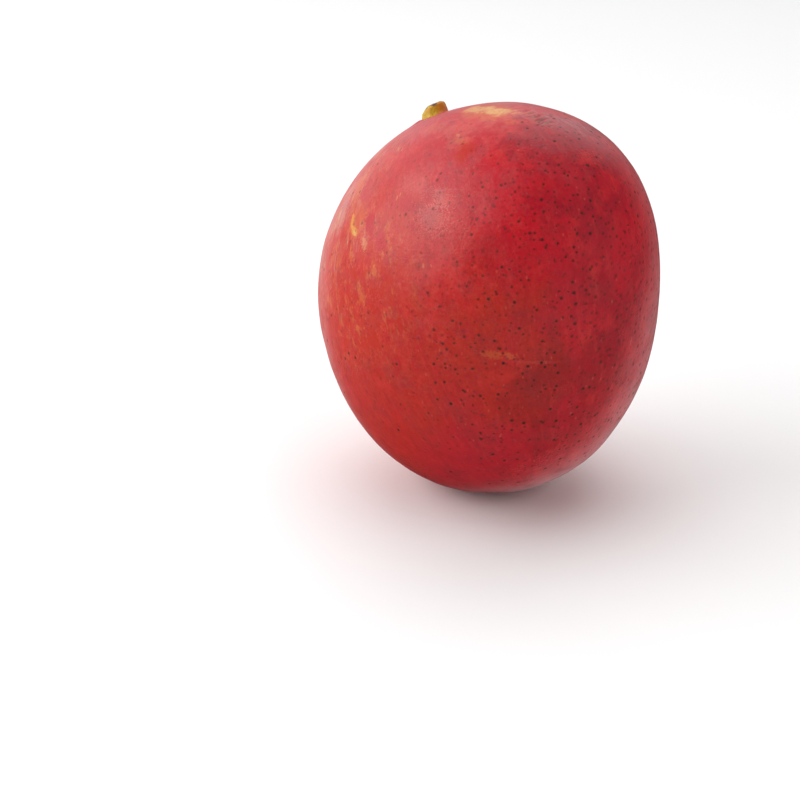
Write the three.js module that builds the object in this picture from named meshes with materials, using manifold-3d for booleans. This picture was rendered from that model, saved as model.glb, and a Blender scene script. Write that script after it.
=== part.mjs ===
// A ripe red mango standing on the small flat spot at its apex, with the cut stub of its stem on top.
// Millimetres, +Z up. The origin lies on the surface that the fruit rests on, under the middle of its box.
import * as THREE from "three";
import { mergeVertices } from "three/addons/utils/BufferGeometryUtils.js";
import Module from "manifold-3d";

// The fruit has a frame of its own: +X to its back, -X to its belly, Y from cheek to cheek and +Z to the
// stem end. Angles are in degrees: an azimuth turns about +Z from the back, an elevation rises from the waist.
const HALF_BREADTH = 47; // belly to back, without the shoulder
const HALF_THICKNESS = 44; // cheek to cheek
const HALF_LENGTH = 52; // apex to stem end, without the shoulder

// Broad swellings and hollows that turn the plain oval into a mango. Each raises the skin by a share of the
// local radius, and a higher sharpness makes it narrower.
const SHOULDER = { azimuth: 0, elevation: 35.5, sharpness: 4.5, rise: 0.327 };
const BEAK = { azimuth: 180, elevation: -58, sharpness: 60, rise: 0.018 };
const SINUS = { azimuth: 180, elevation: -32, sharpness: 14, rise: -0.02 };
const SWELLINGS = [SHOULDER, BEAK, SINUS];

// Where the stem meets the fruit, on the belly side of the top, in a shallow cavity.
const STEM_SEAT_TILT = 10.5; // from the fruit's +Z towards the belly
const CAVITY_DEPTH = 0.7;
const CAVITY_RADIUS = 6;

// The stem stub.
const STEM_AXIS_TILT = 17; // from the fruit's +Z towards the belly
const STEM_RADIUS = 3.6;
const STEM_LENGTH = 4; // above the skin
const STEM_ROOT = 3; // length below the skin before the stub is trimmed to it
const STEM_FLARE = 0.6; // how far the base stands out beyond the stub
const STEM_RIM = 0.9; // rounding of the cut end
const JOINT_GAP = 0.3; // clearance between the stub and the skin

// How the fruit stands: turned about the vertical, then leaning towards its belly.
const YAW = -53;
const LEAN = 14;
const FLAT_DEPTH = 1.2; // height of the apex cap that the flat spot takes away

// Mesh fineness.
const MERIDIANS = 60;
const PARALLELS = 40;
const STEM_SIDES = 28;
const ROUND_STEPS = 3; // edges along each rounding of the stub's profile

const wasm = await Module();
wasm.setup();

const radians = THREE.MathUtils.degToRad;

/** A unit vector of the fruit's frame from its azimuth and elevation in degrees. */
function direction(azimuth, elevation) {
  const level = Math.cos(radians(elevation));
  return new THREE.Vector3(
    level * Math.cos(radians(azimuth)),
    level * Math.sin(radians(azimuth)),
    Math.sin(radians(elevation)),
  );
}

const stemSeat = direction(180, 90 - STEM_SEAT_TILT);
const stemAxis = direction(180, 90 - STEM_AXIS_TILT);
const standing = new THREE.Matrix4()
  .makeRotationZ(radians(YAW))
  .multiply(new THREE.Matrix4().makeRotationY(radians(-LEAN)));

/** Distance from the fruit's centre to its skin along a unit vector. */
function skinRadius(way) {
  const oval = 1 / Math.hypot(way.x / HALF_BREADTH, way.y / HALF_THICKNESS, way.z / HALF_LENGTH);
  let swell = 1;
  for (const { azimuth, elevation, sharpness, rise } of SWELLINGS) {
    swell += rise * Math.exp(sharpness * (way.dot(direction(azimuth, elevation)) - 1));
  }
  const fromSeat = HALF_LENGTH * way.angleTo(stemSeat);
  return oval * swell - CAVITY_DEPTH * Math.exp(-((fromSeat / CAVITY_RADIUS) ** 2));
}

/** A closed triangle mesh as a manifold-3d solid. */
function toSolid(geometry) {
  const bare = geometry.clone();
  bare.deleteAttribute("normal");
  bare.deleteAttribute("uv");
  const merged = mergeVertices(bare, 1e-5);
  return new wasm.Manifold(
    new wasm.Mesh({
      numProp: 3,
      vertProperties: new Float32Array(merged.attributes.position.array),
      triVerts: new Uint32Array(merged.index.array),
    }),
  );
}

/** A manifold-3d solid as a three.js geometry. */
function toGeometry(solid) {
  const mesh = solid.getMesh();
  const geometry = new THREE.BufferGeometry();
  geometry.setAttribute("position", new THREE.BufferAttribute(mesh.vertProperties, 3));
  geometry.setIndex(new THREE.BufferAttribute(mesh.triVerts, 1));
  geometry.computeVertexNormals();
  return geometry;
}

/** The whole skin as a closed surface in its standing pose, its mesh poles on the stem seat's axis. */
function skinGeometry(offset) {
  const geometry = new THREE.SphereGeometry(1, MERIDIANS, PARALLELS);
  const polesToSeat = new THREE.Quaternion().setFromUnitVectors(new THREE.Vector3(0, 1, 0), stemSeat);
  geometry.applyQuaternion(polesToSeat);
  const position = geometry.attributes.position;
  const way = new THREE.Vector3();
  for (let i = 0; i < position.count; i += 1) {
    way.fromBufferAttribute(position, i).normalize();
    const reach = skinRadius(way) + offset;
    position.setXYZ(i, way.x * reach, way.y * reach, way.z * reach);
  }
  return geometry.applyMatrix4(standing);
}

/** The fruit: the skin with its lowest cap cut off level, which leaves the flat spot. */
function fruitGeometry() {
  const skin = skinGeometry(0);
  skin.computeBoundingBox();
  const { min, max } = skin.boundingBox;
  const size = max.clone().sub(min);
  const block = new THREE.BoxGeometry(size.x, size.y, size.z);
  block.translate(0, 0, min.z + FLAT_DEPTH - size.z / 2);
  return toGeometry(toSolid(skin).subtract(toSolid(block)));
}

/** The stub's outline from its root up its side and over the rounded rim, as radius and height. */
function stemProfile() {
  const outline = [new THREE.Vector2(0, -STEM_ROOT), new THREE.Vector2(STEM_RADIUS + STEM_FLARE, -STEM_ROOT)];
  for (let i = 0; i <= ROUND_STEPS; i += 1) {
    const t = i / ROUND_STEPS;
    outline.push(new THREE.Vector2(STEM_RADIUS + STEM_FLARE * (1 - t) ** 2, t * STEM_RADIUS / 2));
  }
  for (let i = 0; i <= ROUND_STEPS; i += 1) {
    const turn = (i / ROUND_STEPS) * (Math.PI / 2);
    const radius = STEM_RADIUS - STEM_RIM * (1 - Math.cos(turn));
    outline.push(new THREE.Vector2(radius, STEM_LENGTH - STEM_RIM * (1 - Math.sin(turn))));
  }
  outline.push(new THREE.Vector2(0, STEM_LENGTH));
  return outline;
}

/** The stub, turned round its axis, set on its seat and trimmed to clear the skin. */
function stemGeometry() {
  const stub = new THREE.LatheGeometry(stemProfile(), STEM_SIDES);
  stub.applyQuaternion(new THREE.Quaternion().setFromUnitVectors(new THREE.Vector3(0, 1, 0), stemAxis));
  const seat = stemSeat.clone().multiplyScalar(skinRadius(stemSeat));
  stub.translate(seat.x, seat.y, seat.z);
  stub.applyMatrix4(standing);
  return toGeometry(toSolid(stub).subtract(toSolid(skinGeometry(JOINT_GAP))));
}

/** A named sub-part with its own material. */
function subPart(name, geometry, color, roughness) {
  const mesh = new THREE.Mesh(geometry, new THREE.MeshStandardMaterial({ color, roughness, metalness: 0 }));
  mesh.name = name;
  return mesh;
}

const mango = new THREE.Group();
mango.add(subPart("fruit", fruitGeometry(), 0xb2303a, 0.42));
mango.add(subPart("stem", stemGeometry(), 0xa8842c, 0.6));

// The origin: middle of the box in plan, on the surface below the flat spot.
const box = new THREE.Box3().setFromObject(mango);
const middle = box.getCenter(new THREE.Vector3());
mango.position.set(-middle.x, -middle.y, -box.min.z);

export default mango;
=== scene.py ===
"""A ripe red mango standing on its apex end: skin, stem stub, floor, lights and camera."""
import math

import bpy
import numpy as np
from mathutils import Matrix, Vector


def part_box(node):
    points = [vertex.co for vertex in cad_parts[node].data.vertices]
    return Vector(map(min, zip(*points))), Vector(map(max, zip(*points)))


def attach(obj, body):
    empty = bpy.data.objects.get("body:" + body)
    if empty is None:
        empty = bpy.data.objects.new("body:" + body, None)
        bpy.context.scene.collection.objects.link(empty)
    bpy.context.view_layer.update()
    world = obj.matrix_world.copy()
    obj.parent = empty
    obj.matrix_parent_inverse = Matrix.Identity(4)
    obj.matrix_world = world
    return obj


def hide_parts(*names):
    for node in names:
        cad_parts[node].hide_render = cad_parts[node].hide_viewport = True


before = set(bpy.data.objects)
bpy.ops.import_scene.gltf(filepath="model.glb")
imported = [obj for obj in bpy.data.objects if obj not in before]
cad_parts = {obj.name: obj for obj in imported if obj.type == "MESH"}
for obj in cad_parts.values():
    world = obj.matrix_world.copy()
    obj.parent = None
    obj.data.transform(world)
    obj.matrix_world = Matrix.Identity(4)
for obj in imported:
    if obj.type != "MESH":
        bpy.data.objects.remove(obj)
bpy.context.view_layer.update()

MM = 0.001  # metres

# The fruit's own frame: +X to its back, -X to its belly, Y from cheek to cheek, +Z to the stem end.
# Lengths are in millimetres and angles in degrees, and the plain shape is the CAD model's.
HALF_BREADTH = 47
HALF_THICKNESS = 44
HALF_LENGTH = 52
SWELLINGS = {  # azimuth, elevation, sharpness, rise as a share of the local radius
    "shoulder": (0, 35.5, 4.5, 0.327),
    "beak": (180, -58, 60, 0.018),
    "sinus": (180, -32, 14, -0.02),
}
STEM_SEAT_TILT = 10.5
STEM_AXIS_TILT = 17
CAVITY_DEPTH = 0.7
CAVITY_RADIUS = 6
YAW = -53
LEAN = 14
FLAT_DEPTH = 1.2
FLAT_ROUNDING = 0.25  # how softly the skin turns into the flat spot

# Fineness of the skin mesh: rings round the stem seat's axis, closer together near the stem.
SEGMENTS = 330
CROWN_ANGLE = 0.9  # radians from the stem seat's axis
CROWN_RINGS = 122
BODY_RINGS = 168

# The stem stub.
STEM_RADIUS = 3.6
STEM_LENGTH = 4.1  # above the skin
STEM_ROOT = 1.6  # below it
STEM_FLARE = 0.75  # how far its foot stands out
STEM_RIM = 0.8  # rounding of the cut end
STEM_SIDES = 120


# ---------------------------------------------------------------- vectors and waves


def unit(vectors):
    """Vectors scaled to length 1 along the last axis."""
    vectors = np.asarray(vectors, float)
    return vectors / np.linalg.norm(vectors, axis=-1, keepdims=True)


def direction(azimuth, elevation):
    """A unit vector of the fruit's frame."""
    a, e = math.radians(azimuth), math.radians(elevation)
    return np.array([math.cos(e) * math.cos(a), math.cos(e) * math.sin(a), math.sin(e)])


def bell(x):
    """A smooth bump, 1 at 0 and nearly 0 beyond 2."""
    return np.exp(-np.square(x))


def waves(points, length, seed, count=14):
    """A smooth random field of the given wavelength, from about -1 to 1."""
    random = np.random.default_rng(seed)
    headings = unit(random.normal(size=(count, 3)))
    phases = random.uniform(0, 2 * math.pi, count)
    stretch = random.uniform(0.7, 1.4, count)
    angles = points @ (headings * (stretch * 2 * math.pi / length)[:, None]).T + phases
    return np.sin(angles).sum(axis=-1) / math.sqrt(count)


# ---------------------------------------------------------------- the fruit's shape

stem_seat = direction(180, 90 - STEM_SEAT_TILT)
stem_axis = direction(180, 90 - STEM_AXIS_TILT)
seat_back = unit(np.cross((0, 1, 0), stem_seat))  # square to the seat's axis, towards the fruit's back
seat_cheek = np.cross(stem_seat, seat_back)


def standing():
    """The turn from the fruit's frame to the row's: the lean towards the belly, then the yaw."""
    turn, tip = math.radians(YAW), math.radians(LEAN)
    yaw = np.array([[math.cos(turn), -math.sin(turn), 0], [math.sin(turn), math.cos(turn), 0], [0, 0, 1]])
    lean = np.array([[math.cos(tip), 0, -math.sin(tip)], [0, 1, 0], [math.sin(tip), 0, math.cos(tip)]])
    return yaw @ lean


STANDING = standing()


def plain_radius(way):
    """The CAD model's skin: distance from the fruit's centre along unit vectors."""
    oval = 1 / np.linalg.norm(way / (HALF_BREADTH, HALF_THICKNESS, HALF_LENGTH), axis=-1)
    swell = np.ones(len(way))
    for azimuth, elevation, sharpness, rise in SWELLINGS.values():
        swell += rise * np.exp(sharpness * (way @ direction(azimuth, elevation) - 1))
    from_seat = HALF_LENGTH * np.arccos(np.clip(way @ stem_seat, -1, 1))
    return oval * swell - CAVITY_DEPTH * bell(from_seat / CAVITY_RADIUS)


UNEVENNESS = (  # height and wavelength in millimetres, squeeze along the fruit, seed, number of waves
    (0.22, 62, 1, 3, 14),  # broad swells
    (0.1, 24, 0.35, 11, 14),  # softer facets that run from stem to apex
    (0.022, 9, 1, 5, 24),  # small ripples
)


def undulation(way):
    """Grown unevenness of the skin."""
    points = way * HALF_LENGTH
    rise = np.zeros(len(way))
    for height, length, squeeze, seed, count in UNEVENNESS:
        rise += height * waves(points * (1, 1, squeeze), length, seed, count)
    return rise


FOLD_HEIGHT = 0.75
FOLD_REACH = 5.6  # from the stem seat's axis, along the skin
FOLD_WIDTH = 1.9
CREASES = 11
CREASE_DEPTH = 0.16
CREASE_REACH = 6.5
CREASE_WIDTH = 2.6


def folds(way):
    """Fleshy folds that the skin makes where it meets the stem, lowest towards the fruit's back."""
    turn = np.arctan2(way @ seat_cheek, way @ seat_back)
    distance = HALF_LENGTH * np.arccos(np.clip(way @ stem_seat, -1, 1))
    uneven = 0.55 + 0.3 * np.cos(5 * turn + 0.8) + 0.15 * np.cos(3 * turn - 1.1)
    belly_side = 0.75 - 0.25 * np.cos(turn)
    ridge = FOLD_HEIGHT * uneven * belly_side * bell((distance - FOLD_REACH) / FOLD_WIDTH)
    spokes = np.cos(CREASES * turn + 0.6 * distance)
    creases = CREASE_DEPTH * spokes * bell((distance - CREASE_REACH) / CREASE_WIDTH)
    return ridge + creases


# A row of small healed puckers on the back's ridge.
DENTS = (  # azimuth, elevation, slant, length, width, depth
    (-1.3, 63.6, 6, 1.7, 0.9, 0.15),
    (-0.6, 60.9, 14, 2.5, 0.9, 0.32),
    (-0.9, 59.1, 4, 1.9, 0.8, 0.3),
    (0.0, 57.0, 12, 2.8, 1.0, 0.4),
    (-0.8, 55.0, 10, 2.6, 1.0, 0.45),
    (-0.4, 53.2, 4, 1.6, 0.9, 0.2),
)


def tangents(azimuth, elevation, slant):
    """Unit vectors along and across a mark: slant turns it from level towards the stem."""
    centre = direction(azimuth, elevation)
    level = unit(np.cross((0, 0, 1), centre))
    rise = np.cross(centre, level)
    s = math.radians(slant)
    return centre, math.cos(s) * level + math.sin(s) * rise, math.cos(s) * rise - math.sin(s) * level


def dents(way):
    """The puckers, each a short groove with a raised lower lip."""
    depth = np.zeros(len(way))
    for azimuth, elevation, slant, length, width, deep in DENTS:
        centre, along, across = tangents(azimuth, elevation, slant)
        near = (way @ centre) > 0.9
        reach = plain_radius(centre[None])[0]
        x, y = way @ along * reach / (length / 2), way @ across * reach / (width / 2)
        depth += near * deep * bell(x * 0.9) * (bell(y) - 0.5 * bell((y + 2.6) / 1.2))
    return -depth


def skin_points(way):
    """The finished skin in the row's frame, in millimetres, standing on its flat spot."""
    plain = (way * plain_radius(way)[:, None]) @ STANDING.T
    reach = plain_radius(way) + undulation(way) + folds(way) + dents(way)
    points = (way * reach[:, None]) @ STANDING.T
    low, high = (np.array(corner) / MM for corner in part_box("fruit"))
    shift = (low + high) / 2 - (plain.min(axis=0) + plain.max(axis=0)) / 2
    shift[2] = low[2] - plain[:, 2].min() - FLAT_DEPTH
    points += shift
    height = points[:, 2] - low[2]
    points[:, 2] = low[2] + FLAT_ROUNDING * np.logaddexp(0, height / FLAT_ROUNDING)
    return points, shift


def skin_grid():
    """Directions from the stem's pole to the far pole, the grain along them, and the number of rings."""
    crown = np.linspace(0, CROWN_ANGLE, CROWN_RINGS, endpoint=False)[1:]
    body = np.linspace(CROWN_ANGLE, math.pi, BODY_RINGS, endpoint=False)
    polar = np.concatenate([crown, body])
    azimuth = np.linspace(0, 2 * math.pi, SEGMENTS, endpoint=False)
    p, a = np.meshgrid(polar, azimuth, indexing="ij")
    p, a = p.ravel(), a.ravel()
    rings = (
        np.sin(p)[:, None] * (np.cos(a)[:, None] * seat_back + np.sin(a)[:, None] * seat_cheek)
        + np.cos(p)[:, None] * stem_seat
    )
    way = np.vstack([stem_seat, rings, -stem_seat])
    grain = np.vstack([(0, 0, 0), np.column_stack([np.cos(a), np.sin(a), p]), (0, 0, math.pi)])
    return way, grain, len(polar)


# ---------------------------------------------------------------- meshes


def ring_faces(rings, sides):
    """Faces of a closed skin: a fan at each pole and quads between. Vertices go pole, rings, pole."""
    last_ring = 1 + (rings - 1) * sides
    last_pole = last_ring + sides
    faces = []
    for side in range(sides):
        after = (side + 1) % sides
        faces.append((0, 1 + side, 1 + after))
        for ring in range(1, last_ring, sides):
            below = ring + sides
            faces.append((ring + side, below + side, below + after, ring + after))
        faces.append((last_ring + side, last_pole, last_ring + after))
    return faces


def add_mesh(name, points, faces, material):
    """A smooth shaded object from points in millimetres."""
    mesh = bpy.data.meshes.new(name)
    mesh.from_pydata((points * MM).tolist(), [], faces)
    mesh.polygons.foreach_set("use_smooth", [True] * len(mesh.polygons))
    mesh.materials.append(material)
    mesh.update()
    piece = bpy.data.objects.new(name, mesh)
    bpy.context.scene.collection.objects.link(piece)
    return piece


def add_attribute(piece, name, vectors):
    """A vector per vertex that the piece's material reads."""
    made = piece.data.attributes.new(name, "FLOAT_VECTOR", "POINT")
    made.data.foreach_set("vector", np.asarray(vectors, np.float32).ravel())


# ---------------------------------------------------------------- material building


class Nodes:
    """A node tree, with a short method for each kind of node."""

    def __init__(self, tree):
        self.tree = tree

    def feed(self, socket, value):
        """Links a socket to another socket, or sets it to a number, a vector or a colour."""
        if isinstance(value, bpy.types.NodeSocket):
            self.tree.links.new(value, socket)
        else:
            socket.default_value = value

    def node(self, kind, inputs, **settings):
        """A node with its inputs fed and its settings set."""
        node = self.tree.nodes.new(kind)
        for key, value in settings.items():
            setattr(node, key, value)
        for key, value in inputs.items():
            self.feed(node.inputs[key], value)
        return node

    def millimetres(self):
        """Object coordinates in millimetres."""
        place = self.node("ShaderNodeTexCoord", {}).outputs["Object"]
        return self.scaled(place, (1 / MM,) * 3)

    def attribute(self, name):
        """A vector that the mesh holds at each vertex."""
        return self.node("ShaderNodeAttribute", {}, attribute_name=name).outputs["Vector"]

    def vector_math(self, operation, a, b):
        """A vector that comes from two."""
        return self.node("ShaderNodeVectorMath", {0: a, 1: b}, operation=operation).outputs["Vector"]

    def measure(self, operation, a, b=(0, 0, 0)):
        """A number that comes from one vector or two."""
        return self.node("ShaderNodeVectorMath", {0: a, 1: b}, operation=operation).outputs["Value"]

    def scaled(self, vector, factors):
        return self.vector_math("MULTIPLY", vector, factors)

    def shifted(self, vector, offset):
        return self.vector_math("ADD", vector, offset)

    def facing(self, vector, other):
        """The dot product, which for unit vectors is the cosine of the angle between them."""
        return self.measure("DOT_PRODUCT", vector, other)

    def math(self, operation, a, b=0.0):
        """A number that comes from one or two."""
        return self.node("ShaderNodeMath", {0: a, 1: b}, operation=operation).outputs[0]

    def add(self, *values):
        total = values[0]
        for value in values[1:]:
            total = self.math("ADD", total, value)
        return total

    def times(self, *values):
        total = values[0]
        for value in values[1:]:
            total = self.math("MULTIPLY", total, value)
        return total

    def ramp(self, value, start, end):
        """0 at start and 1 at end, with a smooth turn at both."""
        node = self.node("ShaderNodeMapRange", {"Value": value}, interpolation_type="SMOOTHSTEP", clamp=False)
        self.feed(node.inputs["From Min"], start)
        self.feed(node.inputs["From Max"], end)
        return node.outputs["Result"]

    def mix(self, share, a, b):
        """Colours a and b, by share from 0 to 1."""
        node = self.node("ShaderNodeMix", {0: share}, data_type="RGBA")
        for index, colour in ((6, a), (7, b)):
            plain = not isinstance(colour, bpy.types.NodeSocket)
            self.feed(node.inputs[index], (*colour, 1) if plain else colour)
        return node.outputs[2]

    def noise(self, where, size, detail=2.0, roughness=0.5):
        """Soft noise with features of about the given size, mostly between 0.3 and 0.7."""
        inputs = {"Vector": where, "Scale": 1 / size, "Detail": detail, "Roughness": roughness}
        return self.node("ShaderNodeTexNoise", inputs).outputs[0]

    def scatter(self, where, size):
        """Scattered points, about size apart: the texture's outputs and two random numbers of the nearest."""
        outputs = self.node("ShaderNodeTexVoronoi", {"Vector": where, "Scale": 1 / size}).outputs
        numbers = self.node("ShaderNodeSeparateColor", {0: outputs["Color"]}).outputs
        return outputs, numbers[0], numbers[1]

    def cells(self, where, size):
        """Scattered points: the distance to the nearest in the units of where, and its random numbers."""
        outputs, chance, dice = self.scatter(where, size)
        return self.times(outputs["Distance"], size), chance, dice

    def seeds(self, where, normal, size):
        """Scattered points moved onto the surface itself, as cells() gives them."""
        outputs, chance, dice = self.scatter(where, size)
        away = self.vector_math("SUBTRACT", where, outputs["Position"])
        along_normal = {0: normal, "Scale": self.facing(away, normal)}
        sunk = self.node("ShaderNodeVectorMath", along_normal, operation="SCALE").outputs["Vector"]
        flat = self.vector_math("SUBTRACT", away, sunk)
        return self.measure("LENGTH", flat), chance, dice


class Shader(Nodes):
    """The node tree of one material."""

    def __init__(self, name):
        self.material = bpy.data.materials.new(name)
        self.material.use_nodes = True
        super().__init__(self.material.node_tree)
        self.surface = self.tree.nodes["Principled BSDF"]

    def finish(self, colour, roughness, relief=None):
        """Feeds the surface. relief is the height in millimetres."""
        self.feed(self.surface.inputs["Base Color"], colour)
        self.feed(self.surface.inputs["Roughness"], roughness)
        if relief is not None:
            bump = self.node("ShaderNodeBump", {"Height": relief, "Distance": MM, "Strength": 1.0})
            self.feed(self.surface.inputs["Normal"], bump.outputs[0])
        return self.material


# ---------------------------------------------------------------- skin

# Linear colours of the skin and its marks.
CRIMSON = (0.47, 0.007, 0.018)
SCARLET = (0.47, 0.016, 0.006)
CARMINE = (0.55, 0.008, 0.02)
ROSE = (0.62, 0.026, 0.024)
EMBER = (0.5, 0.02, 0.007)
WINE = (0.29, 0.005, 0.018)
OXBLOOD = (0.27, 0.006, 0.009)
BLUSH = (0.6, 0.1, 0.07)
AMBER = (0.62, 0.16, 0.035)
STRAW = (0.68, 0.36, 0.12)
GOLD = (0.66, 0.3, 0.04)
HAZE = (0.54, 0.27, 0.29)
CREAM = (0.66, 0.28, 0.24)
CHALK = (0.52, 0.24, 0.21)
PORE = (0.022, 0.01, 0.005)
PORE_FAINT = (0.13, 0.014, 0.015)
CORKY = (0.3, 0.2, 0.15)
RUSSET = (0.24, 0.1, 0.045)
# HOLLOW, a darker copy of the red, is painted as shade in the puckers' hollows.
HOLLOW = (0.2, 0.008, 0.014)

# Broad zones of the ground colour: colour, azimuth, elevation, inner and outer reach in degrees, share.
ZONES = (
    (SCARLET, -62, 2, 10, 48, 0.9),
    (SCARLET, -110, -10, 20, 60, 0.8),
    (ROSE, -50, 27, 3, 20, 0.7),
    (EMBER, -99, 33, 12, 46, 0.8),
    (CRIMSON, -48, 62, 4, 14, 0.6),
    (BLUSH, -15, 61, 3, 14, 0.4),
    (CARMINE, -14, 37, 8, 25, 0.78),
    (WINE, 9, 40, 5, 24, 0.85),
    (SCARLET, -30, -8, 8, 28, 0.85),
    (OXBLOOD, -12, -22, 5, 26, 0.5),
    (WINE, 5, 8, 6, 26, 0.5),
    # Brighter red on the upper right shoulder: painted light where the lamps leave it dim.
    (CARMINE, 19, 31, 3, 15, 0.45),
    (WINE, 95, 20, 20, 70, 0.7),
    (SCARLET, 170, -15, 20, 80, 0.8),
)

# Named places on the skin: azimuth, elevation, inner and outer reach in degrees.
BLOOM_AND_SHEEN_TOP = (4, 66, 5, 40)  # where the bloom is thickest, and where the grazing top's sheen is painted in with it
LIT_FLANK = (-85, 35, 10, 75)  # the flank towards the key light, paler and more speckled: partly real scuffs, partly painted sparkle of the highlight
LIT_SHOULDER = (-80, 42, 10, 60)  # under the key light's highlight: bloom clouds here are partly painted highlight, and pores are painted paler
PEBBLED = (-50, 38, 4, 20)  # round the key light's highlight, where the skin is most pebbled
GOLDEN = (-90, 20, 12, 36)  # golden freckles
SHADED = (-124, 41, 4, 32)  # the sun reached least here, and the yellow ground shows in streaks
CALM = (-160, 50, 6, 31)  # the far side of that place, where the streaks fade
FROSTED = (38, 58, 12, 27)  # short streaks of wax along the upper right rim, partly painted sheen of its grazing reflection
BELLY = (175, -12, 10, 85)  # clouds of amber
SUNNY_BACK = (5, 8, 25, 80)  # many pores
SUNNY_BELLY = (150, 0, 20, 80)  # fewer
CROWN = (-14, 86, 22, 36)  # round the stem, nearly without pores
SHELTERED = (-72, 44, 14, 40)  # few pores
DENSE_BACK = (8, 4, 6, 26)  # the thickest clumps of pores
DENSE_SHOULDER = (-9, 37, 4, 20)
HAZY = (12, -2, 10, 34)  # larger and softer pores


def zone(s, way, place, shift=0.0):
    """1 within a place's inner reach, 0 beyond its outer. shift moves the border, in cosines."""
    azimuth, elevation, inner, outer = place
    facing = s.add(s.facing(way, direction(azimuth, elevation)), shift)
    return s.ramp(facing, math.cos(math.radians(outer)), math.cos(math.radians(inner)))


PATCH_VECTORS = ("way", "where", "centre", "along", "across")
PATCH_NUMBERS = ("ragged", "coarse", "fine", "outer", "inner")


def patch_group():
    """The nodes of one blotch with a ragged edge, 1 inside and 0 outside, made once for all the marks."""
    group = bpy.data.node_groups.new("ragged_patch", "ShaderNodeTree")
    for names, kind in ((PATCH_VECTORS, "NodeSocketVector"), (PATCH_NUMBERS, "NodeSocketFloat")):
        for name in names:
            group.interface.new_socket(name, in_out="INPUT", socket_type=kind)
    group.interface.new_socket("share", in_out="OUTPUT", socket_type="NodeSocketFloat")
    s = Nodes(group)
    given = s.node("NodeGroupInput", {}).outputs
    x, y = s.facing(given["way"], given["along"]), s.facing(given["way"], given["across"])
    radius = s.math("SQRT", s.add(s.times(x, x), s.times(y, y)))
    coarse = {"Vector": given["where"], "Scale": given["coarse"], "Detail": 4.0, "Roughness": 0.65}
    fine = {"Vector": given["where"], "Scale": given["fine"], "Detail": 3.0, "Roughness": 0.7}
    edge = s.node("ShaderNodeTexNoise", coarse)
    worn = s.node("ShaderNodeTexNoise", fine)
    wobble = s.times(s.add(edge.outputs[0], -0.5), given["ragged"])
    front = s.ramp(s.facing(given["way"], given["centre"]), 0.2, 0.4)
    inside = s.ramp(s.add(radius, wobble), given["outer"], given["inner"])
    s.node("NodeGroupOutput", {"share": s.times(inside, front, s.ramp(worn.outputs[0], 0.2, 0.5))})
    return group


def patch(s, group, way, where, mark, ragged, size, soft=0.35):
    """How much of one blotch covers the skin. mark is azimuth, elevation, slant, length, width."""
    azimuth, elevation, slant, length, width = mark
    centre, along, across = tangents(azimuth, elevation, slant)
    reach = plain_radius(centre[None])[0]
    inputs = {
        "way": way,
        "where": where,
        "centre": tuple(centre),
        "along": tuple(along * 2 * reach / length),
        "across": tuple(across * 2 * reach / width),
        "ragged": ragged,
        "coarse": 1 / size,
        "fine": 2 / size,
        "outer": 1 + soft,
        "inner": 1 - soft,
    }
    return s.node("ShaderNodeGroup", inputs, node_tree=group).outputs["share"]


def pores(s, where, normal, size, radius, softness, keep):
    """Round dots, one for most cells, and their random numbers. keep is the share of them that show."""
    distance, chance, dice = s.seeds(where, normal, size)
    grown = s.times(s.add(0.62, s.times(dice, 0.65)), radius)
    ragged = s.times(s.add(s.noise(where, 0.35, detail=1), -0.5), 0.22)
    dot = s.ramp(s.add(distance, ragged), s.add(grown, softness), s.math("SUBTRACT", grown, softness))
    return s.times(dot, s.math("LESS_THAN", chance, keep)), dice


def specks(s, where, size, radius, softness, keep):
    """Flecks about scattered points, stretched where the coordinates are, and their random numbers."""
    distance, chance, dice = s.cells(where, size)
    grown = s.times(s.add(0.7, s.times(dice, 0.45)), radius)
    dot = s.ramp(distance, s.add(grown, softness), s.math("SUBTRACT", grown, softness))
    return s.times(dot, s.math("LESS_THAN", chance, keep)), dice


def ground_colour(s, where, way):
    """Crimson with broad zones of warmer and darker red, their borders bent by noise."""
    drift = s.times(s.add(s.noise(where, 15, detail=4, roughness=0.6), -0.5), 0.42)
    colour = CRIMSON
    for tint, *place, share in ZONES:
        colour = s.mix(s.times(zone(s, way, place, drift), share), colour, tint)
    return colour


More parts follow.
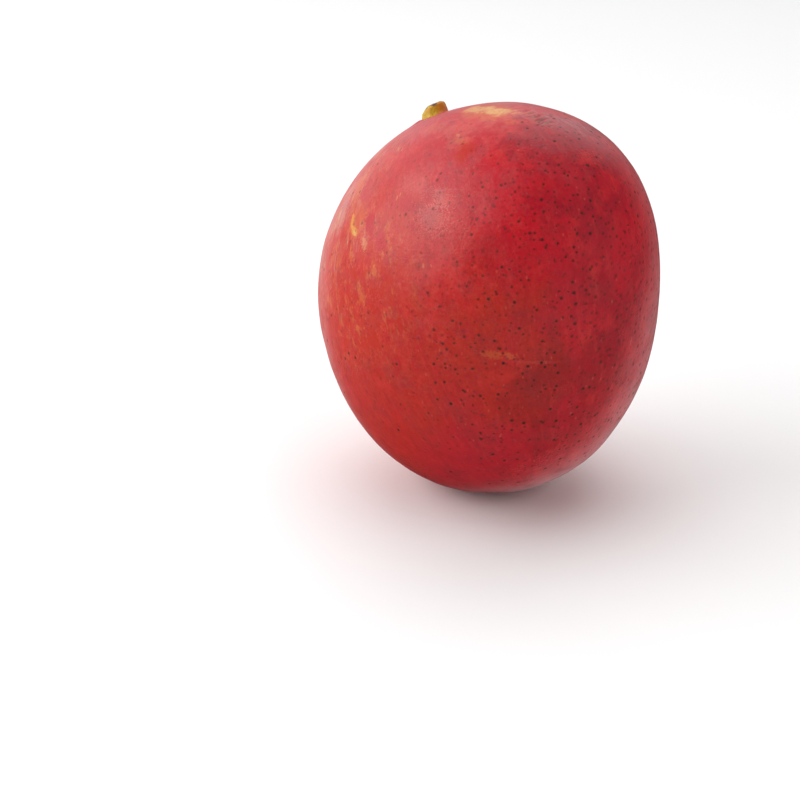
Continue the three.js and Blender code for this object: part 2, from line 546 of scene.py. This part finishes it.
def mottled(s, colour, where, way, grain, fine_streaks):
    """Clouds, blotches, soft upright streaks and fine grit of darker and paler red, paler and more speckled
    towards the key light: there partly painted highlight sparkle.
    """
    clouds = s.noise(where, 6.5, detail=4, roughness=0.6)
    blotches = s.noise(s.scaled(grain, (20, 20, 9)), 1.0, detail=4, roughness=0.7)
    streaks = s.noise(s.scaled(grain, (34, 34, 7)), 1.0, detail=3, roughness=0.6)
    grit = s.noise(where, 1.1, detail=4, roughness=0.8)
    dust = s.noise(s.shifted(where, (12, 33, 70)), 0.9, detail=3, roughness=0.8)
    pale = s.noise(s.shifted(where, (40, 2, 9)), 2.8, detail=5, roughness=0.72)
    # Towards the key light the pale streaks, grit and dust grow and the dark grit fades: painted sparkle and
    # lightening of the highlight.
    lit = zone(s, way, LIT_FLANK)
    scuffed = s.add(0.04, s.times(lit, 0.05))
    paler_and_sparkle = s.add(0.03, s.times(lit, 0.055))
    darker = s.math("SUBTRACT", 0.4, s.times(lit, 0.06))
    dust_and_sparkle = s.add(0.012, s.times(lit, 0.035))
    colour = s.mix(s.times(s.ramp(clouds, 0.52, 0.72), 0.45), colour, OXBLOOD)
    colour = s.mix(s.times(s.ramp(clouds, 0.48, 0.3), 0.4), colour, ROSE)
    colour = s.mix(s.times(s.ramp(blotches, 0.5, 0.68), 0.34), colour, OXBLOOD)
    colour = s.mix(s.times(s.ramp(blotches, 0.47, 0.3), 0.32), colour, ROSE)
    colour = s.mix(s.times(s.ramp(streaks, 0.5, 0.7), 0.26), colour, ROSE)
    colour = s.mix(s.times(s.ramp(fine_streaks, 0.58, 0.8), scuffed), colour, BLUSH)
    colour = s.mix(s.times(s.ramp(grit, 0.5, 0.78), paler_and_sparkle), colour, BLUSH)
    # Pale and deep red clouds on the flank towards the key light: painted clouding of its highlight.
    colour = s.mix(s.times(lit, s.ramp(pale, 0.5, 0.64), 0.17), colour, BLUSH)
    colour = s.mix(s.times(lit, s.ramp(pale, 0.5, 0.35), 0.75), colour, CRIMSON)
    colour = s.mix(s.times(s.ramp(grit, 0.5, 0.22), darker), colour, OXBLOOD)
    return s.mix(s.times(s.ramp(dust, 0.47, 0.6), dust_and_sparkle), colour, CREAM)


def scuffed_shade(s, colour, where, way, grain, drift):
    """The shaded place: chalky scuffs and broken streaks of yellow that run from stem to apex."""
    calm = s.math("SUBTRACT", 1.0, s.times(zone(s, way, CALM), 0.75))
    shaded = s.times(zone(s, way, SHADED, drift), calm)
    broken = s.ramp(s.noise(where, 5, detail=3), 0.38, 0.55)
    chalky = s.noise(s.scaled(s.shifted(grain, (3, 1, 2)), (52, 52, 7)), 1.0, detail=4, roughness=0.7)
    sunless = s.noise(s.scaled(s.shifted(grain, (5, 2, 8)), (44, 44, 10)), 1.0, detail=4, roughness=0.7)
    colour = s.mix(s.times(shaded, s.ramp(chalky, 0.45, 0.68), 0.58), colour, CHALK)
    return s.mix(s.times(shaded, broken, s.ramp(sunless, 0.48, 0.68), 0.6), colour, STRAW)


def frost_and_sheen(s, colour, way, grain, drift):
    """Short pale streaks of wax on the right shoulder, partly painted sheen of the rim's grazing reflection.
    """
    frost = s.noise(s.scaled(s.shifted(grain, (9, 4, 1)), (60, 60, 24)), 1.0, detail=4, roughness=0.75)
    frosted = zone(s, way, FROSTED, s.times(drift, 0.2))
    return s.mix(s.times(frosted, s.ramp(frost, 0.44, 0.7), 0.36), colour, HAZE)


def golden_flank(s, colour, way, grain):
    """Golden freckles and flushes of amber among warmer red."""
    golden = zone(s, way, GOLDEN)
    freckles = s.noise(s.scaled(grain, (34, 34, 22)), 1.0, detail=5, roughness=0.8)
    flushed = s.noise(s.scaled(s.shifted(grain, (1, 7, 3)), (15, 15, 8)), 1.0, detail=4, roughness=0.7)
    colour = s.mix(s.times(golden, s.ramp(freckles, 0.53, 0.68), 0.72), colour, AMBER)
    colour = s.mix(s.times(golden, s.ramp(flushed, 0.52, 0.66), 0.42), colour, AMBER)
    return s.mix(s.times(golden, s.ramp(flushed, 0.5, 0.38), 0.95), colour, EMBER)


def amber_belly(s, colour, where, way):
    """Clouds of amber on the belly."""
    mottle = s.noise(where, 9, detail=5, roughness=0.62)
    return s.mix(s.times(zone(s, way, BELLY), s.ramp(mottle, 0.44, 0.74), 0.5), colour, AMBER)


MARKS = (  # colour, share, raggedness, size of the rags, azimuth, elevation, slant, length, width
    (AMBER, 0.4, 3.2, 4.0, -14, 69.6, -72, 19, 10),
    (STRAW, 0.7, 3.0, 3.0, -18.0, 74.0, -75, 9.0, 4.6),
    (STRAW, 0.85, 3.0, 3.0, -11.4, 66.2, -66, 9.0, 5.2),
    (AMBER, 0.35, 2.8, 0.9, -95, 39.5, -50, 9.0, 3.4),
    (GOLD, 0.75, 3.0, 0.6, -97, 41.1, -67, 4.0, 1.4),
    (GOLD, 0.85, 2.6, 0.6, -92.9, 37.8, -32, 4.8, 1.9),
    (STRAW, 0.8, 2.4, 0.6, -92.0, 37.2, -32, 2.6, 1.0),
    (AMBER, 0.3, 4.6, 0.5, -91, 42, -60, 10, 6),
    (BLUSH, 0.32, 4.4, 0.6, -84.0, 34.4, -51, 5.0, 2.6),
    (STRAW, 0.32, 4.4, 0.6, -83.6, 33.8, -60, 3.6, 1.9),
    (CREAM, 0.1, 6.0, 0.5, -84, 38, -50, 8, 6),
    (AMBER, 0.36, 4.4, 0.7, -106, 53, -60, 10, 5),
    (CHALK, 0.45, 4.4, 0.7, -112, 44, -64, 14, 4.0),
    (STRAW, 0.35, 1.0, 1.0, -68.4, 47.0, 80, 1.4, 0.45),
    (STRAW, 0.35, 1.0, 1.0, -66.9, 47.8, 80, 1.2, 0.45),
    (HAZE, 0.09, 1.8, 1.0, -45.5, 44.8, -18, 11, 0.5),
    (AMBER, 0.3, 4.0, 0.9, -36.0, -3.6, -13, 5.0, 2.2),
    (AMBER, 0.34, 4.0, 0.9, -31.4, -4.6, -20, 3.6, 1.8),
    (BLUSH, 0.16, 3.0, 1.6, -24, -7.5, -9, 11, 0.9),
    (AMBER, 0.4, 1.4, 1.0, -18.2, 61.6, -52, 2.2, 0.7),
    (HAZE, 0.12, 4.0, 2.4, -74, 72, 0, 17, 8),
    (AMBER, 0.16, 3.6, 1.2, -56, 70.1, -24, 7.6, 4.0),
    (AMBER, 0.28, 3.8, 0.9, -36.4, 58.4, -55, 5.0, 2.4),
    (STRAW, 0.25, 1.5, 1.0, -37.7, 61.6, -65, 1.6, 0.9),
    (SCARLET, 0.85, 3.0, 1.6, -35.5, 54.5, -69, 5.6, 4.0),
    (SCARLET, 0.85, 3.0, 1.2, -37.7, 52.3, -53, 4.2, 2.6),
    (CRIMSON, 0.9, 2.8, 1.4, -82, 40, -60, 7.0, 4.0),
    (CRIMSON, 0.8, 2.8, 1.6, -74, 34, -70, 6.0, 3.4),
    (CRIMSON, 0.8, 2.8, 1.6, -62, 44, -40, 6.0, 3.4),
    (CRIMSON, 0.85, 2.8, 1.6, -94, 50, -50, 9.0, 4.4),
    (HOLLOW, 0.45, 1.6, 0.8, -41.5, 70.1, -20, 1.8, 1.0),
    (HOLLOW, 0.3, 1.6, 0.8, -35.5, 71.9, 0, 1.2, 0.7),
    # A pale streaky band along the upper right rim: partly wax, partly painted sheen of its grazing
    # reflection.
    (HAZE, 0.2, 4.0, 2.8, 5.2, 71.9, -84, 13, 4.5),
    # Pale speckle within the key light's highlight: painted sparkle of the highlight.
    (CREAM, 0.22, 7.0, 0.4, -50.5, 38.0, -40, 9, 6),
    (CREAM, 0.2, 7.0, 0.4, -46.5, 42.5, -40, 7, 4),
    (CREAM, 0.1, 4.6, 0.7, -92, 49, -40, 12, 7),
    (CREAM, 0.1, 4.6, 0.6, -60, 50, -30, 10, 5),
    (STRAW, 0.22, 1.4, 0.7, -54.5, 25.0, -90, 1.1, 0.6),
    (STRAW, 0.18, 1.4, 0.7, -51.7, 24.8, -66, 0.9, 0.5),
    (BLUSH, 0.07, 2.6, 1.6, -2, 15.2, -80, 7.0, 2.2),
    (BLUSH, 0.08, 2.4, 1.2, 0.6, 17, -76, 5.0, 0.8),
    (BLUSH, 0.07, 2.8, 1.8, -6.8, 11.5, -80, 8.0, 3.0),
    (BLUSH, 0.07, 2.4, 1.2, 5.4, 8, -74, 6.0, 1.4),
    (CHALK, 0.34, 1.4, 0.8, 9.1, -8.4, 82, 3.6, 0.4),
    (CHALK, 0.3, 1.4, 0.8, 22, -10.4, 84, 4.0, 0.7),
    (OXBLOOD, 0.35, 1.8, 3.0, -15, -13, 0, 22, 7),
    (CARMINE, 0.45, 3.2, 3.0, -10, 35, 0, 14, 9),
    (CRIMSON, 0.9, 2.2, 3.0, 2.5, 15, 80, 17, 9),
    (RUSSET, 0.55, 2.6, 0.9, 96, 22, 28, 7, 0.6),
    (RUSSET, 0.4, 3.2, 1.0, 139, 47, 62, 5, 1.4),
    (RUSSET, 0.35, 3.6, 0.7, 58, -12, 74, 2.8, 1.5),
    (RUSSET, 0.3, 3.6, 0.7, 64, -16, 80, 2.0, 1.2),
    (CHALK, 0.2, 1.8, 1.0, 74, 36, -34, 15, 0.6),
    (AMBER, 0.24, 4.4, 1.8, 112, 60, 20, 10, 6),
    (STRAW, 0.32, 4.2, 1.8, 166, -28, 40, 9, 5),
    (RUSSET, 0.5, 2.8, 0.9, -170, 24, 50, 6, 0.8),
    (BLUSH, 0.3, 3.2, 2.0, -150, 8, 70, 10, 4),
    (OXBLOOD, 0.4, 2.4, 2.6, 120, 10, 60, 16, 8),
)

# How fully a pucker's raised lip is coloured, and how fully its hollow is painted dark: painted shade in the
# groove.
LIP_SHARE = 0.75
HOLLOW_SHADE_SHARE = 0.68


def marked(s, colour, where, way):
    """Scars, scuffs and blotches, each in its own place, and the row of healed puckers, with painted shade in
    their hollows.
    """
    group = patch_group()
    for tint, share, ragged, size, *mark in MARKS:
        colour = s.mix(s.times(patch(s, group, way, where, mark, ragged, size), share), colour, tint)
    for azimuth, elevation, slant, length, width, depth in DENTS:
        strength = min(1.0, 1.8 * depth)
        lip = (azimuth - 0.6, elevation - 1.7, slant, length * 1.2, width * 0.6)
        corky = patch(s, group, way, where, lip, ragged=1.2, size=0.9, soft=0.6)
        colour = s.mix(s.times(corky, LIP_SHARE * strength), colour, CORKY)
        # Painted shade: the hollow of each pucker is coloured a darker red.
        hollow = (azimuth, elevation, slant, length, width)
        sunk = patch(s, group, way, where, hollow, ragged=0.6, size=0.9, soft=0.6)
        colour = s.mix(s.times(sunk, HOLLOW_SHADE_SHARE * strength), colour, HOLLOW)
    return colour


def bloom_and_sheen(s, colour, way, bloom):
    """Dull waxy bloom in clouds, thickest at the top; at the top and under the key light's highlight it is
    partly painted sheen.
    """
    share = s.add(0.01, s.times(zone(s, way, BLOOM_AND_SHEEN_TOP), 0.055), s.times(zone(s, way, LIT_SHOULDER), 0.018))
    return s.mix(s.times(bloom, share), colour, HAZE)


# About how far apart pores and flecks are, in millimetres.
DARK_PORE_GAP = 3.6
EXTRA_PORE_GAP = 2.5
FAINT_PORE_GAP = 2.8
FLECK_GAP = 1.8


def pored(s, colour, where, way):
    """Dark pores, crowded on the sunny sides, faint pores and pale flecks. Gives the dark ones' cover too."""
    normal = s.node("ShaderNodeNewGeometry", {}).outputs["Normal"]
    drift = s.times(s.add(s.noise(where, 12), -0.5), 0.9)
    sunny = s.add(zone(s, way, SUNNY_BACK), s.times(zone(s, way, SUNNY_BELLY), 0.6))
    bare_crown = s.math("SUBTRACT", 1.0, s.times(zone(s, way, CROWN), 0.95))
    sheltered = s.math("SUBTRACT", 1.0, s.times(zone(s, way, SHELTERED), 0.7))
    crowd = s.times(s.ramp(s.add(sunny, drift), 0.0, 0.55), bare_crown, sheltered)
    dense = s.add(zone(s, way, DENSE_BACK), zone(s, way, DENSE_SHOULDER))
    clumps = s.add(s.noise(s.shifted(where, (5, 5, 5)), 6, detail=1), s.times(dense, 0.11))
    clumps = s.ramp(clumps, 0.46, 0.58)
    hazy = zone(s, way, HAZY)
    soft = s.add(0.25, s.times(hazy, 0.11))
    # Pores are softer in the hazy place, and painted paler under the key light's highlight, as if washed out
    # by it.
    veil = s.math("SUBTRACT", 1.0, s.add(s.times(hazy, 0.42), s.times(zone(s, way, LIT_SHOULDER), 0.35)))

    large, keep = s.add(0.33, s.times(hazy, 0.07)), s.times(s.add(s.times(crowd, 0.68), 0.12), bare_crown)
    dark, dice = pores(s, where, normal, DARK_PORE_GAP, large, soft, keep)
    small, keep = s.add(0.27, s.times(hazy, 0.08)), s.times(crowd, clumps, 0.68)
    extra, pick = pores(s, s.shifted(where, (13, 57, 3)), normal, EXTRA_PORE_GAP, small, soft, keep)
    keep = s.add(s.times(crowd, 0.42), 0.16)
    faint, _ = pores(s, s.shifted(where, (31, 17, 5)), normal, FAINT_PORE_GAP, 0.34, 0.24, keep)
    upright = s.scaled(s.shifted(where, (7, 41, 23)), (1, 1, 0.55))
    flecks, bright = specks(s, upright, FLECK_GAP, 0.22, 0.16, 0.5)

    colour = s.mix(s.times(faint, 0.5), colour, PORE_FAINT)
    colour = s.mix(s.times(extra, s.add(s.times(pick, 0.42), 0.42), veil), colour, PORE)
    colour = s.mix(s.times(dark, s.add(s.times(dice, 0.5), 0.45), veil), colour, PORE)
    return s.mix(s.times(flecks, s.add(s.times(bright, 0.35), 0.1)), colour, BLUSH), dark


SKIN_IOR = 1.4


def skin_material():
    """Mango skin: red ground with streaks, marks, bloom and pores, satin with a fine pebbled relief."""
    s = Shader("mango_skin")
    where = s.millimetres()
    way = s.attribute("way")
    grain = s.attribute("grain")
    fine_streaks = s.noise(s.scaled(grain, (75, 75, 9)), 1.0, detail=2, roughness=0.55)
    drift = s.times(s.add(s.noise(where, 9, detail=5, roughness=0.65), -0.5), 0.7)
    bloom = s.ramp(s.noise(where, 6.5, detail=5, roughness=0.64), 0.44, 0.66)

    colour = ground_colour(s, where, way)
    colour = mottled(s, colour, where, way, grain, fine_streaks)
    colour = scuffed_shade(s, colour, where, way, grain, drift)
    colour = frost_and_sheen(s, colour, way, grain, drift)
    colour = golden_flank(s, colour, way, grain)
    colour = amber_belly(s, colour, where, way)
    colour = marked(s, colour, where, way)
    colour = bloom_and_sheen(s, colour, way, bloom)
    colour, dark = pored(s, colour, where, way)

    patchy = s.noise(s.shifted(where, (3, 60, 8)), 9, detail=3)
    pebbled = s.ramp(s.add(patchy, s.times(zone(s, way, PEBBLED), 0.16)), 0.5, 0.66)
    roughness = s.add(0.31, s.times(bloom, 0.08), s.times(dark, 0.2), s.times(pebbled, 0.04))
    relief = s.add(
        s.times(s.noise(where, 1.4, detail=2), 0.042),
        s.times(s.noise(where, 0.62, detail=1), s.add(0.014, s.times(pebbled, 0.085))),
        s.times(fine_streaks, 0.01),
    )
    s.feed(s.surface.inputs["IOR"], SKIN_IOR)
    return s.finish(colour, roughness, relief)


def add_fruit():
    """The fruit. Returns the shift in millimetres that stands it where the CAD model stands."""
    way, grain, rings = skin_grid()
    points, shift = skin_points(way)
    fruit = add_mesh("mango_fruit", points, ring_faces(rings, SEGMENTS), skin_material())
    add_attribute(fruit, "way", way)
    add_attribute(fruit, "grain", grain)
    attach(fruit, "root")
    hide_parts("fruit")
    return shift


# ---------------------------------------------------------------- stem

OLIVE = (0.54, 0.34, 0.004)
TAN = (0.56, 0.2, 0.012)
RUST = (0.5, 0.09, 0.02)
BARK = (0.17, 0.085, 0.022)
SPOT = (0.06, 0.025, 0.02)
PITH = (0.5, 0.34, 0.05)
STEM_SLUMP = 2.2  # radians, the side on which the stub's shoulder is worn round
STEM_WEAR = 1.7  # millimetres, how far it is worn down there
STEM_ORANGE_SIDE = (0.6, 0.8, 0)  # the side towards which the stub is more orange and rusty
STEM_SPOT = (2.7, -1.3, 3.6)  # millimetres, a dark bruise at the edge of the cut


def stem_frame(shift):
    """The stub's foot in the row's frame, and its axes: towards the back, to a cheek, and up."""
    foot = (stem_seat * plain_radius(stem_seat[None])[0]) @ STANDING.T + shift
    up = stem_axis @ STANDING.T
    cheek = unit(np.cross(up, seat_back @ STANDING.T))
    back = np.cross(cheek, up)
    return foot, back, cheek, up


def lathe(rings, sides):
    """Rings of (radius, height), top first, as local points. The first and last have radius 0: the poles."""
    turn = np.linspace(0, 2 * math.pi, sides, endpoint=False)
    points = [np.array([[0, 0, rings[0][1]]])]
    for radius, height in rings[1:-1]:
        points.append(np.column_stack([radius * np.cos(turn), radius * np.sin(turn), np.full(sides, height)]))
    points.append(np.array([[0, 0, rings[-1][1]]]))
    return np.vstack(points)


def stub_rings():
    """The stub's plain outline, top first: its cut end, rounded rim, flared side and hidden root."""
    heights = np.linspace(-STEM_ROOT, STEM_LENGTH - STEM_RIM, 26)
    side = [(STEM_RADIUS + STEM_FLARE * bell(h / 1.1 + 0.4), h) for h in heights]
    rim = [
        (STEM_RADIUS - STEM_RIM * (1 - math.cos(t)), STEM_LENGTH - STEM_RIM * (1 - math.sin(t)))
        for t in np.linspace(0.1, math.pi / 2, 10)
    ]
    insets = np.linspace(0.15, STEM_RADIUS - 1.0, 14)
    end = [(STEM_RADIUS - STEM_RIM - inset, STEM_LENGTH) for inset in insets]
    return [(0, -STEM_ROOT), *side, *rim, *end, (0, STEM_LENGTH)][::-1]


def stub_points():
    """The stub about its own axis, fluted and lumpy, worn on one side, its cut end sloping and cupped."""
    rings = stub_rings()
    points = lathe(rings, STEM_SIDES)
    turn = np.arctan2(points[:, 1], points[:, 0])
    radius = np.hypot(points[:, 0], points[:, 1])
    outer = np.clip(radius / STEM_RADIUS, 0, 1) ** 3
    flutes = 0.09 * np.cos(3 * turn + 0.5) + 0.06 * np.cos(5 * turn - 1) + 0.03 * np.cos(13 * turn)
    lumps = 0.12 * waves(points * (1, 1, 0.6), 3.4, seed=21) + 0.04 * waves(points, 1.2, seed=8, count=24)
    points[:, :2] *= (1 + (flutes + lumps) * outer / STEM_RADIUS)[:, None]
    upper = np.clip(points[:, 2] / STEM_LENGTH, 0, 1) ** 2
    worn = (0.5 + 0.5 * np.cos(turn + STEM_SLUMP)) ** 2
    points[:, :2] *= (1 - 0.2 * worn * upper)[:, None]
    points[:, 2] -= STEM_WEAR * worn * upper * (radius / STEM_RADIUS) ** 2.5
    slope = -0.28 * np.cos(turn + 0.6) * radius / STEM_RADIUS
    cup = -0.35 * bell(radius / 1.7)
    grain = 0.07 * waves(points, 0.9, seed=14, count=24)
    points[:, 2] += upper * (slope + (cup + grain) * (points[:, 2] > STEM_LENGTH - 0.1))
    return points, len(rings) - 2


def stem_material():
    """Olive bark that turns tan and rusty, with a dark rim, a woody cut face and one bruise."""
    s = Shader("mango_stem")
    where = s.millimetres()
    local = s.attribute("stem_place")
    height = s.facing(local, (0, 0, 1))
    across = s.facing(local, STEM_ORANGE_SIDE)
    radius = s.measure("LENGTH", s.scaled(local, (1, 1, 0)))
    fibres = s.noise(s.scaled(local, (3.2, 3.2, 0.35)), 1.0, detail=4, roughness=0.65)
    clouds = s.noise(where, 2.2, detail=4, roughness=0.6)
    colour = s.mix(s.ramp(s.add(across, s.times(clouds, 2.0)), 0.4, 3.4), OLIVE, TAN)
    colour = s.mix(s.times(s.ramp(clouds, 0.48, 0.68), 0.6), colour, TAN)
    colour = s.mix(s.times(s.ramp(fibres, 0.55, 0.75), 0.35), colour, BARK)
    rusty = s.add(s.times(across, 0.5), s.times(height, -0.55), s.times(clouds, 1.2))
    colour = s.mix(s.times(s.ramp(rusty, 0.5, 1.7), 0.7), colour, RUST)
    rim = s.times(
        s.ramp(radius, STEM_RADIUS - 1.3, STEM_RADIUS - 0.5),
        s.ramp(height, STEM_LENGTH - 0.9, STEM_LENGTH),
    )
    face = s.times(
        s.ramp(radius, STEM_RADIUS - 0.5, STEM_RADIUS - 1.1),
        s.ramp(height, STEM_LENGTH - 1.4, STEM_LENGTH - 0.6),
    )
    rings = s.noise(s.scaled(local, (1.1, 1.1, 0.3)), 1.0, detail=5, roughness=0.7)
    wood = s.mix(s.ramp(rings, 0.35, 0.65), PITH, BARK)
    colour = s.mix(face, colour, wood)
    colour = s.mix(s.times(rim, s.ramp(clouds, 0.35, 0.6), 0.55), colour, BARK)
    spot = s.measure("DISTANCE", local, STEM_SPOT)
    colour = s.mix(s.times(s.ramp(s.add(spot, s.times(clouds, 0.8)), 1.6, 0.9), 0.9), colour, SPOT)
    relief = s.add(s.times(fibres, 0.12), s.times(s.noise(where, 0.5, detail=2), 0.03))
    return s.finish(colour, s.add(0.42, s.times(clouds, 0.2)), relief)


def add_stem(shift):
    """The stub on its seat. shift stands it where the fruit stands."""
    foot, back, cheek, up = stem_frame(shift)
    local, rings = stub_points()
    points = local @ np.array([back, cheek, up]) + foot
    stub = add_mesh("mango_stem", points, ring_faces(rings, STEM_SIDES), stem_material())
    add_attribute(stub, "stem_place", local)
    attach(stub, "root")
    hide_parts("stem")


# ---------------------------------------------------------------- stage

FLOOR_RADIUS = 0.75
FLOOR_SIDES = 96
PAPER = (0.95, 0.95, 0.95)
PAPER_SHADE = (0.7, 0.7, 0.7)
PAPER_ROUGHNESS = 0.8
CAMERA_ELEVATION = math.radians(25)
CAMERA_DISTANCE = 0.618
CAMERA_AIM = Vector((-0.0236, 0, 0.0227))  # the fruit stands to the right of and above the picture's middle
CAMERA_LENS = 100
CAMERA_SENSOR = 36
LAMP_AIM = Vector((0, 0, 0.055))  # the middle of the fruit
LAMPS = (  # name, azimuth, elevation, distance, width, height, radiance, whether reflections show it
    ("key", 86, 29, 0.9, 1.1, 0.74, 2.6, True),
    ("side", 90, 16, 0.9, 1.2, 0.9, 0.72, False),
    ("overhead", 180, 80, 1.3, 1.6, 1.6, 1.2, False),
    ("fill", -60, 20, 1.2, 1.4, 1.2, 1.42, False),
)
ROOM = 0.065  # radiance of the dim room
GLOWS = (  # pale places in the room: azimuth, elevation, reach in degrees, radiance
    (122, -4, 52, 0.27),
    (142, 23, 24, 0.85),
    (190, 44, 44, 1.2),
    (-150, 12, 36, 0.32),
    (159, -10, 32, 0.74),
    (-141, -43, 34, 0.6),
)


def paper_material():
    """White paper with a faint cloudiness."""
    s = Shader("floor_paper")
    clouds = s.noise(s.millimetres(), 40, detail=2)
    return s.finish(s.mix(s.times(clouds, 0.04), PAPER, PAPER_SHADE), PAPER_ROUGHNESS)


def add_floor():
    """A round sheet of paper under the fruit."""
    turn = np.linspace(0, 2 * math.pi, FLOOR_SIDES, endpoint=False)
    edge = FLOOR_RADIUS / MM * np.column_stack([np.cos(turn), np.sin(turn), np.zeros(FLOOR_SIDES)])
    floor = add_mesh("floor", edge, [tuple(range(FLOOR_SIDES))], paper_material())
    floor.visible_glossy = False


def toward(azimuth, elevation):
    """A unit vector from the fruit. Azimuth 0 is on the camera's side and 90 on the left."""
    a, e = math.radians(azimuth), math.radians(elevation)
    return Vector((-math.sin(a) * math.cos(e), -math.cos(a) * math.cos(e), math.sin(e)))


def add_softbox(name, azimuth, elevation, distance, width, height, radiance, glossy):
    """A rectangular lamp that faces the fruit. glossy says whether it shows in reflections."""
    away = toward(azimuth, elevation)
    light = bpy.data.lights.new(name, "AREA")
    light.shape = "RECTANGLE"
    light.size, light.size_y = width, height
    light.energy = radiance * math.pi * width * height  # watts, for a flat lamp of that radiance
    lamp = bpy.data.objects.new(name, light)
    lamp.location = LAMP_AIM + away * distance
    lamp.rotation_euler = away.to_track_quat("Z", "Y").to_euler()
    lamp.visible_camera = False
    lamp.visible_glossy = glossy
    bpy.context.scene.collection.objects.link(lamp)


def add_world():
    """White to the camera. To the fruit and the floor a dim room with pale glows."""
    world = bpy.data.worlds.new("studio")
    world.use_nodes = True
    bpy.context.scene.world = world
    s = Nodes(world.node_tree)
    way = s.node("ShaderNodeTexCoord", {}).outputs["Generated"]
    room = ROOM
    for azimuth, elevation, reach, radiance in GLOWS:
        facing = s.facing(way, toward(azimuth, elevation))
        room = s.add(room, s.times(s.ramp(facing, math.cos(math.radians(reach)), 1.0), radiance))
    seen = s.node("ShaderNodeLightPath", {}).outputs["Is Camera Ray"]
    strength = s.node("ShaderNodeMapRange", {"Value": seen, "To Min": room, "To Max": 1.0}).outputs["Result"]
    background = s.tree.nodes["Background"]
    s.feed(background.inputs["Strength"], strength)
    s.feed(background.inputs["Color"], (1, 1, 1, 1))


def add_camera():
    """The photo's view, which looks down on the fruit from the front."""
    data = bpy.data.cameras.new("camera")
    data.lens, data.sensor_width = CAMERA_LENS, CAMERA_SENSOR
    camera = bpy.data.objects.new("camera", data)
    back = Vector((0, -math.cos(CAMERA_ELEVATION), math.sin(CAMERA_ELEVATION)))
    camera.location = CAMERA_AIM + back * CAMERA_DISTANCE
    camera.rotation_euler = back.to_track_quat("Z", "Y").to_euler()
    bpy.context.scene.collection.objects.link(camera)
    bpy.context.scene.camera = camera


add_camera()
shift = add_fruit()
add_stem(shift)
add_floor()
for lamp in LAMPS:
    add_softbox(*lamp)
add_world()
bpy.context.scene.view_settings.view_transform = "Standard"
